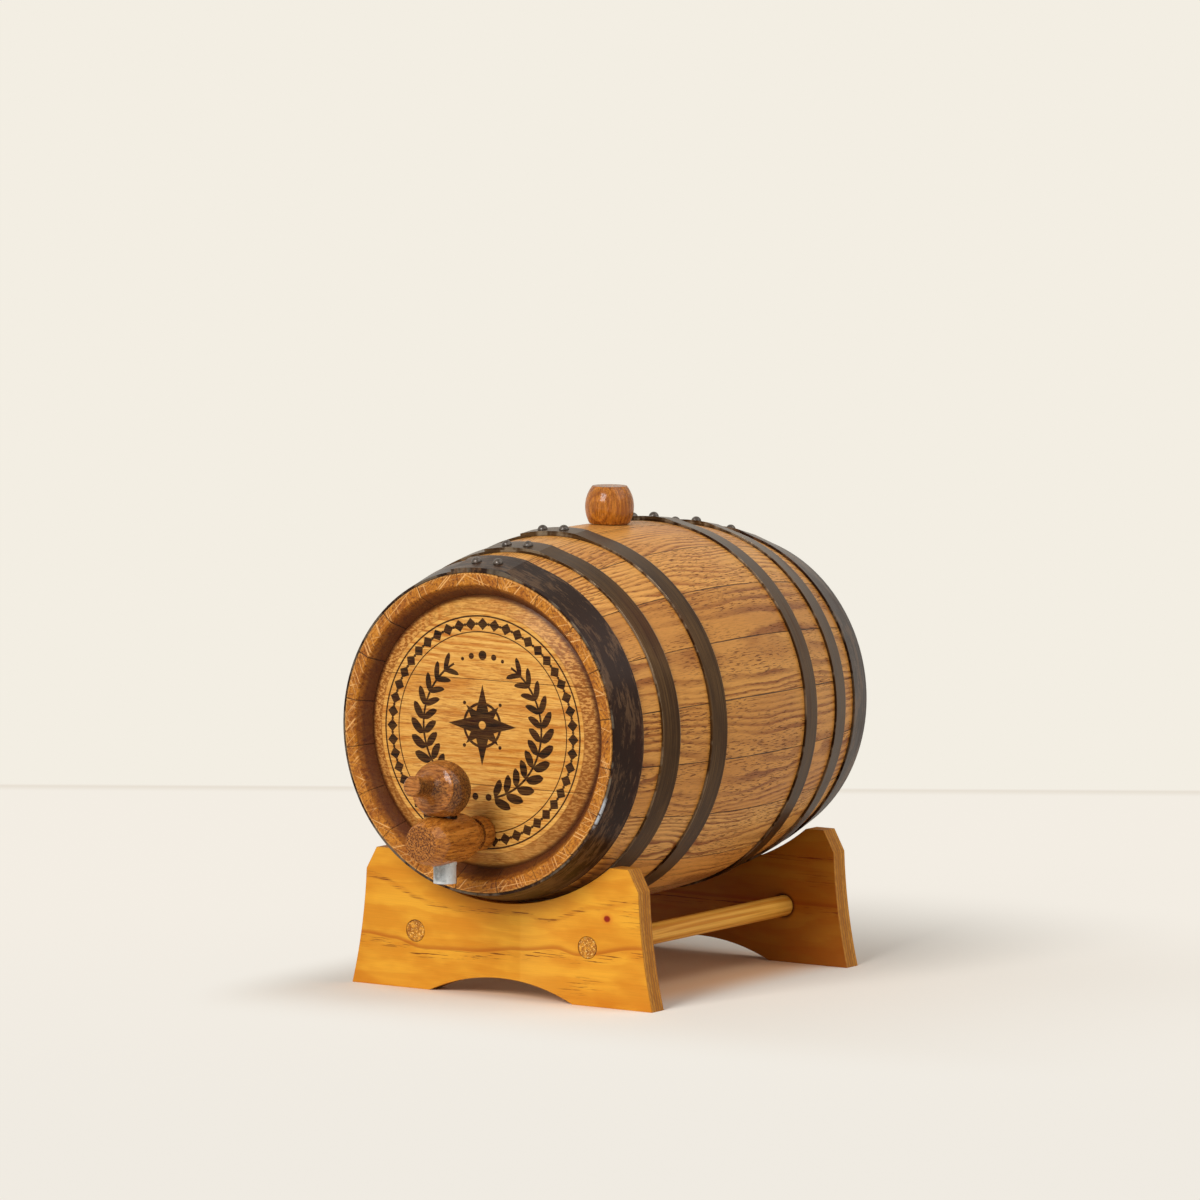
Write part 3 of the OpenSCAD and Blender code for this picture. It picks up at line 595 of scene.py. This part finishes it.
def plywood():
    m, tree, shader = new_material(
        "plywood", Specular_IOR_Level=0.15, Coat_Weight=0.08, Coat_Roughness=0.24)
    x, y, z = place(tree)
    y = y - MID_Y
    depth = PLATE_Y - size_of(y)  # from a plate's outer face inward
    rear = over(y, 0.0)
    back = over(depth, PLATE_T / 2)  # a plate's inner face
    sheet = rear * 2.0 + back
    u = x + sheet * 173.0
    slow = noise(u * 0.012, z * 0.05, sheet * 7.0, 1.0)
    quick = noise(u * 0.03, z * 0.16, sheet * 7.0 + 3.0, 3.0)
    ring = fraction((z * 0.9 + (slow - 0.5) * 30.0 + (quick - 0.5) * 6.0) / 9.5)
    late = ramp(ring, 0.35, 0.86) * ramp(ring, 1.0, 0.9)
    fibres = noise(u * 0.05, z * 2.2, sheet * 5.0, 4.0, 0.65)
    mottle = noise(u * 0.035, z * 0.09, 11.0 + sheet, 3.0)
    colour = blend(late * 0.3, srgb(222, 158, 44), srgb(194, 114, 14))
    colour = blend(ramp(mottle, 0.36, 0.62) * 0.55, colour, srgb(192, 112, 12))
    beside_seam = ramp(u, 9.0, 10.4) * ramp(u, 46.0, 12.0)  # the veneer's next sheet
    colour = blend(beside_seam * 0.2, colour, srgb(236, 176, 70))
    colour = blend(1.0, colour, grey(0.84 + 0.3 * fibres), "MULTIPLY")

    # Grain lines and short resin streaks beside them
    first = path(u, (
        (-68, 21.6), (-54, 20.4), (-40, 17.4), (-15, 18.1),
        (10, 20.7), (28, 22.7), (38, 20.8), (69, 25.7)))
    second = first - 2.2
    upper = path(u, ((-70, 47.0), (-28, 35.8), (13, 36.0), (22, 33.7), (47, 41.5), (72, 46.0)))
    band = ramp(z - first, -0.5, 0.1) * ramp(z - first, 2.4, 0.3)
    band = highest(band, 0.35 * ramp(size_of(z - upper), 1.6, 0.2))
    colour = blend(band * 0.6, colour, srgb(158, 70, 2))
    close = highest(ramp(size_of(z - second), 2.4, 0.8), ramp(size_of(z - upper), 2.0, 0.4))
    dashes = ramp(noise(u * 0.06, z * 1.35, sheet * 3.0 + 20.0, 3.0, 0.65), 0.54, 0.62)
    stray = ramp(noise(u * 0.02, z * 0.06, sheet * 3.0 + 40.0, 1.0), 0.6, 0.75)
    streaks = dashes * highest(close, stray * 0.8)
    colour = blend(streaks * 0.9, colour, srgb(98, 42, 4))

    # One small red knot on the front plate's outer face, darker edges, painted shade on inner faces
    knot_x, knot_z = 53.0, 37.35
    near = length((x - knot_x) / 1.15, z - knot_z) + sheet * 500.0
    colour = blend(ramp(near, 3.4, 0.9) * 0.5, colour, srgb(196, 90, 20))
    colour = blend(ramp(near, 1.7, 1.0), colour, srgb(134, 30, 6))
    stain = ramp(z, 9.0, 0.0) + ramp(size_of(x), 62.0, 78.0) * 0.6
    colour = blend(stain * 0.25, colour, srgb(184, 98, 8))
    # Painted shade: the inner faces darkened for the shade under the barrel
    colour = blend(back * 0.6, colour, srgb(122, 36, 6))

    # Painted contact shadow round the dowels, on the inner faces
    socket = ramp(length(size_of(x) - DOWEL_X, z - DOWEL_Z), 6.4, 4.7) * back
    colour = blend(socket * 0.8, colour, srgb(52, 18, 4))

    # Sawn edges show the plies
    rim = ramp(depth, 0.12, 0.3) * ramp(depth, PLATE_T - 0.12, PLATE_T - 0.3)
    wave = (noise(x * 0.03, 4.0, z * 0.03, 2.0) - 0.5) * 0.5
    ply = (depth + wave) / (PLATE_T / 5)
    layer = whole(ply)
    (lean,) = chance(layer * 3.7 + 1.0, 1)
    edge_grain = noise(x * 0.4 + layer * 9.0, depth * 2.0, z * 0.4, 4.0, 0.65)
    plies = blend(lean, srgb(210, 146, 56), srgb(170, 106, 28))
    plies = blend(ramp(edge_grain, 0.38, 0.62) * 0.6, plies, srgb(140, 80, 20))
    glue = ramp(size_of(fraction(ply + 0.5) - 0.5), 0.14, 0.04)
    plies = blend(glue * 0.65, plies, srgb(104, 66, 48))
    colour = blend(rim, colour, plies)
    surface(tree, shader, colour, 0.4 + 0.14 * fibres + 0.2 * rim)
    height = 0.5 * fibres - 0.6 * streaks + rim * edge_grain - 0.5 * glue * rim
    bump(tree, shader, height, 0.1, 0.5, 0.5)
    return m


def dowel_wood():
    m, tree, shader = new_material(
        "dowel wood", Specular_IOR_Level=0.2, Coat_Weight=0.06, Coat_Roughness=0.25)
    x, y, z = place(tree)
    y = y - MID_Y
    side = over(x, 0.0)
    dx, dz = size_of(x) - DOWEL_X, z - DOWEL_Z
    fibres = noise(y * 0.05 + side * 80.0, x * 2.6, z * 2.6, 4.0, 0.65)
    bands = noise(y * 0.012 + side * 50.0, x * 0.7, z * 0.7, 2.0)
    colour = blend(ramp(bands, 0.35, 0.65), srgb(238, 178, 76), srgb(204, 132, 38))
    colour = blend(1.0, colour, grey(0.74 + 0.5 * fibres), "MULTIPLY")

    # Torn end grain, with a gap here and there between dowel and plate
    end = ramp(size_of(y), PLATE_Y - 0.25, PLATE_Y - 0.05)
    torn = noise(x * 0.42, side * 9.0, z * 0.42, 6.0, 0.8)
    fleck = noise(x * 1.3, side * 5.0, z * 1.3, 3.0, 0.7)
    ends = blend(ramp(torn, 0.42, 0.54), srgb(146, 82, 12), srgb(212, 144, 44))
    ends = blend(ramp(fleck, 0.56, 0.62), ends, srgb(252, 208, 122))
    ends = blend(ramp(size_of(torn - 0.5), 0.02, 0.0) * 0.8, ends, srgb(84, 38, 4))
    gap = ramp(length(dx, dz) + 2.0 * (torn - 0.5), 4.0, 4.5)
    gap = gap * ramp(noise(x * 0.22, side * 3.0, z * 0.22, 2.0), 0.4, 0.6)
    ends = blend(gap, ends, srgb(104, 50, 6))
    colour = blend(end, colour, ends)
    surface(tree, shader, colour, 0.4 + 0.2 * fibres)
    bump(tree, shader, 0.6 * fibres + end * (fleck + torn), 0.25, 0.6, 0.3)
    return m


MATERIALS = {
    "stave": oak_stave(),
    "head": oak_head(),
    "hoop": hoop_steel(),
    "rivets": rivet_steel(),
    "bung": turned_wood(
        "bung wood", srgb(192, 116, 30), srgb(134, 64, 2), srgb(84, 32, 0),
        grain="z", seed=4.2, flecks=0.45, ends=0.9),
    "tap_body": turned_wood(
        "tap wood", srgb(198, 124, 44), srgb(140, 72, 10), srgb(74, 26, 0),
        grain="y", seed=7.7, flecks=0.7, ends=0.84),
    "tap_key": turned_wood(
        "key wood", srgb(182, 114, 46), srgb(112, 50, 4), srgb(48, 14, 0),
        grain="x", seed=12.9, flecks=0.65, ends=0.6),
    "plug": frosted_plastic(),
    "plywood": plywood(),
    "dowel": dowel_wood(),
}


def kind_of(name):
    """The material, by its key in MATERIALS, of the node of that name."""
    if name in MATERIALS:
        return name
    if name.startswith(("stave_", "bung_stave")):
        return "stave"
    if name.endswith("_rivets"):
        return "rivets"
    if name.endswith("_hoop"):
        return "hoop"
    if "_head_" in name:
        return "head"
    if name.startswith("cradle"):
        return "plywood"
    if name.startswith("dowel"):
        return "dowel"
    return "plug"


for name, o in nodes.items():
    material = MATERIALS[kind_of(name)]
    for slot in o.material_slots:
        slot.material = material
    if not o.material_slots:
        o.data.materials.append(material)

# ---- Stage ----


def flat_mesh(name, corners):
    mesh = bpy.data.meshes.new(name)
    mesh.from_pydata(corners, [], [tuple(range(len(corners)))])
    o = bpy.data.objects.new(name, mesh)
    bpy.context.scene.collection.objects.link(o)
    return o


def toward(azimuth, elevation):
    """The way from the object to something at that azimuth and elevation, in radians."""
    level = math.cos(elevation)
    return Vector((
        math.sin(azimuth) * level, -math.cos(azimuth) * level, math.sin(elevation)))


# The camera, as it was solved from the photograph
CAM_AZ, CAM_EL, CAM_ROLL = (math.radians(a) for a in (33.154, 5.862, 0.294))
CAM_FAR = 3.4651
CAM_LENS, CAM_SENSOR = 244.536, 36  # millimetres
TARGET = Vector((-0.004585, MID_Y / 1000, 0.159995))
BACK = toward(CAM_AZ, CAM_EL)
RIGHT = Vector((math.cos(CAM_AZ), math.sin(CAM_AZ), 0))
AWAY = Vector((-math.sin(CAM_AZ), math.cos(CAM_AZ), 0))

# The floor is as wide as the view from any side needs, and ends where the wall starts
FLOOR_OUT = 6
WALL_FAR = 0.658  # behind the object, as the camera sees it
sides, rows = (-FLOOR_OUT, FLOOR_OUT), (-FLOOR_OUT, WALL_FAR)
corners = [(sides[i], rows[j]) for i, j in ((0, 0), (1, 0), (1, 1), (0, 1))]
floor = flat_mesh("floor", [tuple(RIGHT * a + AWAY * b) for a, b in corners])
m, tree, shader = new_material("floor", Roughness=0.9, Specular_IOR_Level=0.15)
x, y, z = place(tree)
away = x * AWAY.x + y * AWAY.y
cream = blend(ramp(away, -450.0, 300.0), srgb(240, 235, 226), srgb(244, 238, 228))

# A faint dark line along the foot of the wall
before = WALL_FAR * 1000 - away
line = ramp(before, 30.0, 6.0) * ramp(before, 1.0, 8.0, 0.3, 1.0)
cream = blend(line, cream, srgb(233, 225, 212))

# Between the plates the floor is warm from the light that the wood throws back
inside = length(past(x, -46.0, 46.0), past(y - MID_Y, -66.0, 66.0))
warm = blend(ramp(inside, 30.0, 0.0), cream, srgb(236, 196, 156))
put(tree, warm, shader.inputs["Base Color"])

# Away from the object the camera sees an evenly lit floor. The rates say how soon the shadow
# gives way to it on each side.
outside = length(past(x, -74.0, 70.0, 3.5, 0.7), past(y, -62.0, 100.0, 1.9, 0.8))
even = ramp(outside, 0.0, 190.0, 0.0, 0.96)
glow = tree.nodes.new("ShaderNodeEmission")
put(tree, cream, glow.inputs["Color"])
rays = tree.nodes.new("ShaderNodeLightPath")
mixer = tree.nodes.new("ShaderNodeMixShader")
put(tree, even * Num(tree, rays.outputs["Is Camera Ray"]), mixer.inputs[0])
tree.links.new(shader.outputs[0], mixer.inputs[1])
tree.links.new(glow.outputs[0], mixer.inputs[2])
tree.links.new(mixer.outputs[0], tree.nodes["Material Output"].inputs["Surface"])
floor.data.materials.append(m)

# The wall's colour for rays that see the world, and the room's dimmer light for all others
world = bpy.data.worlds.new("studio")
bpy.context.scene.world = world
world.use_nodes = True
wt = world.node_tree
wt.nodes.clear()
rays = wt.nodes.new("ShaderNodeLightPath")
camera_ray, glossy_ray, transmission_ray = (
    Num(wt, rays.outputs[f"Is {kind} Ray"]) for kind in ("Camera", "Glossy", "Transmission"))
pick = wt.nodes.new("ShaderNodeMixShader")
put(wt, highest(camera_ray, highest(glossy_ray, transmission_ray)), pick.inputs[0])
room, wall = (srgb(255, 252, 247), 0.23), (srgb(243, 238, 227), 1.0)
for (colour, strength), socket in zip((room, wall), pick.inputs[1:]):
    n = wt.nodes.new("ShaderNodeBackground")
    n.inputs["Color"].default_value = colour
    n.inputs["Strength"].default_value = strength
    wt.links.new(n.outputs[0], socket)
out = wt.nodes.new("ShaderNodeOutputWorld")
wt.links.new(pick.outputs[0], out.inputs[0])


def lamp(name, azimuth, elevation, far, wide, watts, colour):
    """A square soft box that faces the object from that side, in degrees."""
    light = bpy.data.lights.new(name, "AREA")
    light.shape = "SQUARE"
    light.size = wide
    light.energy = watts
    light.color = colour
    o = bpy.data.objects.new(name, light)
    back = toward(math.radians(azimuth), math.radians(elevation))
    o.location = Vector((0, 0, 0.1)) + back * far
    o.rotation_mode = "QUATERNION"
    o.rotation_quaternion = (-back).to_track_quat("-Z", "Y")
    bpy.context.scene.collection.objects.link(o)


lamp("key", -3, 32, far=7.0, wide=3.0, watts=425, colour=(1.0, 0.99, 0.975))
lamp("fill", 104, 46, far=6.0, wide=5.0, watts=140, colour=(1.0, 0.99, 0.98))

camera = bpy.data.objects.new("camera", bpy.data.cameras.new("camera"))
bpy.context.scene.collection.objects.link(camera)
bpy.context.scene.camera = camera
camera.data.sensor_width = CAM_SENSOR
camera.data.lens = CAM_LENS
camera.data.clip_start, camera.data.clip_end = 0.05, 60
up = RIGHT.cross(-BACK)
c, s = math.cos(CAM_ROLL), math.sin(CAM_ROLL)
axes = Matrix((RIGHT * c + up * s, up * c - RIGHT * s, BACK)).transposed().to_4x4()
camera.matrix_world = Matrix.Translation(TARGET + BACK * CAM_FAR) @ axes

bpy.context.scene.view_settings.view_transform = "Standard"
